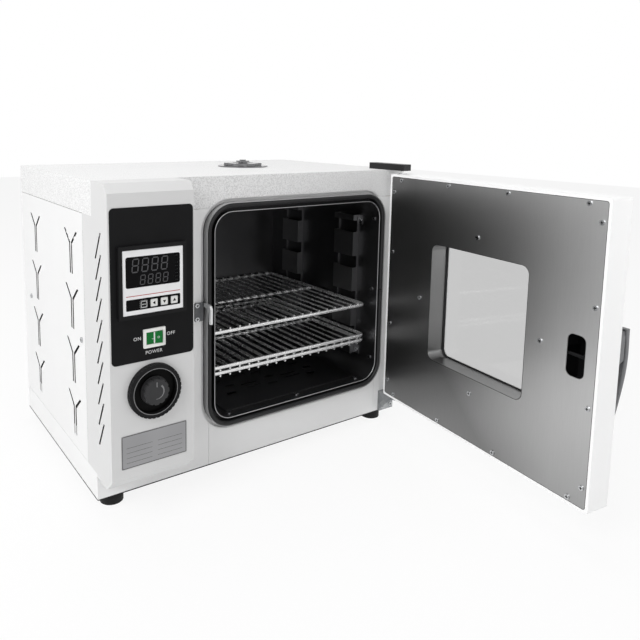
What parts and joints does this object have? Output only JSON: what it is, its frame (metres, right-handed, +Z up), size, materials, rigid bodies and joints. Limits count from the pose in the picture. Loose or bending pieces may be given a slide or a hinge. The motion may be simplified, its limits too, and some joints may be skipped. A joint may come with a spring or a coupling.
{
  "type": "dry heat sterilizer",
  "caption": "Bench-top hot-air oven with a side-hinged glazed door, wire shelves, a fan, a rotary roof vent and a front control box beside the door.",
  "frame": {"origin": "point on the bench midway between the cabinet sides and midway between its front and back planes, without door, control box and gland", "axes": "+Z up, +X to the right seen from the front, -Y out of the front with the door"},
  "size_m": [0.578, 0.8243, 0.4836],
  "materials": {
    "white_coat": "textured powder coat",
    "galvanised": "zinc-coated sheet",
    "stainless": "brushed",
    "chrome_wire": "bright plated",
    "black_steel": "satin black",
    "heater_sheath": "heat-darkened",
    "screw_zinc": "zinc plated",
    "mineral_wool": "matt fibre",
    "seal_rubber": "matt",
    "pane_glass": "clear",
    "overlay_film": "satin film",
    "meter_black": "fine texture",
    "meter_silver": "satin paint",
    "screen_dark": "tinted window",
    "key_white": "moulded",
    "rocker_green": "moulded",
    "dial_grey": "satin",
    "handle_grey": "moulded"
  },
  "bodies": {
    "cabinet": {"back_panel": "white_coat", "base_pan": "white_coat", "bay_blocks": "meter_black", "bay_partition": "galvanised", "bottom_hinge_bracket": "galvanised", "cabinet_screws": "screw_zinc", "chamber_liner": "stainless", "chamber_screws": "screw_zinc", "control_overlay": "overlay_film", "dial_body": "dial_grey", "door_seal": "seal_rubber", "exhaust_collar": "chrome_wire", "fan_case": "stainless", "fan_cover": "stainless", "fan_motor": "black_steel", "fascia": "white_coat", "floor_plate": "stainless", "front_sheets": "white_coat", "heater_well": "stainless", "hinge_pins": "chrome_wire", "insulation_pads": "mineral_wool", "left_side_panel": "white_coat", "meter_case": "meter_black", "meter_plate": "meter_silver", "meter_screen": "screen_dark", "mouth_frame": "galvanised", "power_gland": "meter_black", "right_side_panel": "white_coat", "rubber_feet": "seal_rubber", "shelf_uprights": "stainless", "striker": "chrome_wire", "switch_case": "meter_black", "temperature_probe": "stainless", "thermal_break": "seal_rubber", "top_cover": "white_coat", "top_hinge_arm": "galvanised", "top_hinge_cap": "black_steel", "tubular_heaters": "heater_sheath"},
    "door": {"door_shell": "white_coat", "door_liner": "stainless", "window_pane": "pane_glass", "pane_cushion": "seal_rubber", "door_insulation": "mineral_wool", "door_screws": "screw_zinc", "door_bushes": "screw_zinc", "latch_case": "black_steel", "handle_base": "handle_grey"},
    "handle_lever": {"handle_lever": "handle_grey"},
    "latch_pawl": {"latch_pawl": "chrome_wire"},
    "fan_rotor": {"fan_rotor": "stainless"},
    "exhaust_shutter": {"exhaust_shutter": "chrome_wire"},
    "power_rocker": {"power_rocker": "rocker_green"},
    "dial_knob": {"dial_knob": "dial_grey"},
    "shelf_upper": {"shelf_upper": "chrome_wire"},
    "shelf_middle": {"shelf_middle": "chrome_wire"},
    "shelf_lower": {"shelf_lower": "chrome_wire"},
    "meter_key_1": {"meter_key_1": "key_white"},
    "meter_key_2": {"meter_key_2": "key_white"},
    "meter_key_3": {"meter_key_3": "key_white"},
    "meter_key_4": {"meter_key_4": "key_white"}
  },
  "joints": [
    {"name": "door_swing", "type": "hinge", "parent": "cabinet", "child": "door", "pos_m": [0.2625, -0.2145, 0.264], "axis": [0, 0, 1], "range_deg": [-83, 52]},
    {"name": "handle_pull", "type": "hinge", "parent": "door", "child": "handle_lever", "pos_m": [0.25102, -0.60753, 0.2875], "axis": [-0.1219, -0.9925, 0], "range_deg": [0, 25], "stiffness_Nm_per_rad": 0.5},
    {"name": "pawl_drop", "type": "slide", "parent": "door", "child": "latch_pawl", "axis": [0, 0, -1], "range_m": [0, 0.0115]},
    {"name": "fan_spin", "type": "hinge", "parent": "cabinet", "child": "fan_rotor", "pos_m": [-0.14, -0.029, 0.255], "axis": [1, 0, 0], "continuous": true},
    {"name": "exhaust_turn", "type": "hinge", "parent": "cabinet", "child": "exhaust_shutter", "pos_m": [0.065, 0, 0.474], "axis": [0, 0, 1], "range_deg": [0, 60]},
    {"name": "power_rock", "type": "hinge", "parent": "cabinet", "child": "power_rocker", "pos_m": [-0.2255, -0.2428, 0.2642], "axis": [0, 0, 1], "range_deg": [0, 16]},
    {"name": "dial_turn", "type": "hinge", "parent": "cabinet", "child": "dial_knob", "pos_m": [-0.2267, -0.2432, 0.191], "axis": [0, 1, 0], "range_deg": [0, 270]},
    {"name": "shelf_upper_slide", "type": "slide", "parent": "cabinet", "child": "shelf_upper", "axis": [0, -1, 0], "range_m": [0, 0.14]},
    {"name": "shelf_middle_slide", "type": "slide", "parent": "cabinet", "child": "shelf_middle", "axis": [0, -1, 0], "range_m": [0, 0.14]},
    {"name": "shelf_lower_slide", "type": "slide", "parent": "cabinet", "child": "shelf_lower", "axis": [0, -1, 0], "range_m": [0, 0.14]},
    {"name": "meter_key_1_press", "type": "slide", "parent": "cabinet", "child": "meter_key_1", "axis": [0, 1, 0], "range_m": [0, 0.0006], "stiffness_N_per_m": 300},
    {"name": "meter_key_2_press", "type": "slide", "parent": "cabinet", "child": "meter_key_2", "axis": [0, 1, 0], "range_m": [0, 0.0006], "stiffness_N_per_m": 300},
    {"name": "meter_key_3_press", "type": "slide", "parent": "cabinet", "child": "meter_key_3", "axis": [0, 1, 0], "range_m": [0, 0.0006], "stiffness_N_per_m": 300},
    {"name": "meter_key_4_press", "type": "slide", "parent": "cabinet", "child": "meter_key_4", "axis": [0, 1, 0], "range_m": [0, 0.0006], "stiffness_N_per_m": 300}
  ],
  "couplings": [
    {"joint": "pawl_drop", "follows": "handle_pull", "m_per_rad": 0.026356}
  ]
}
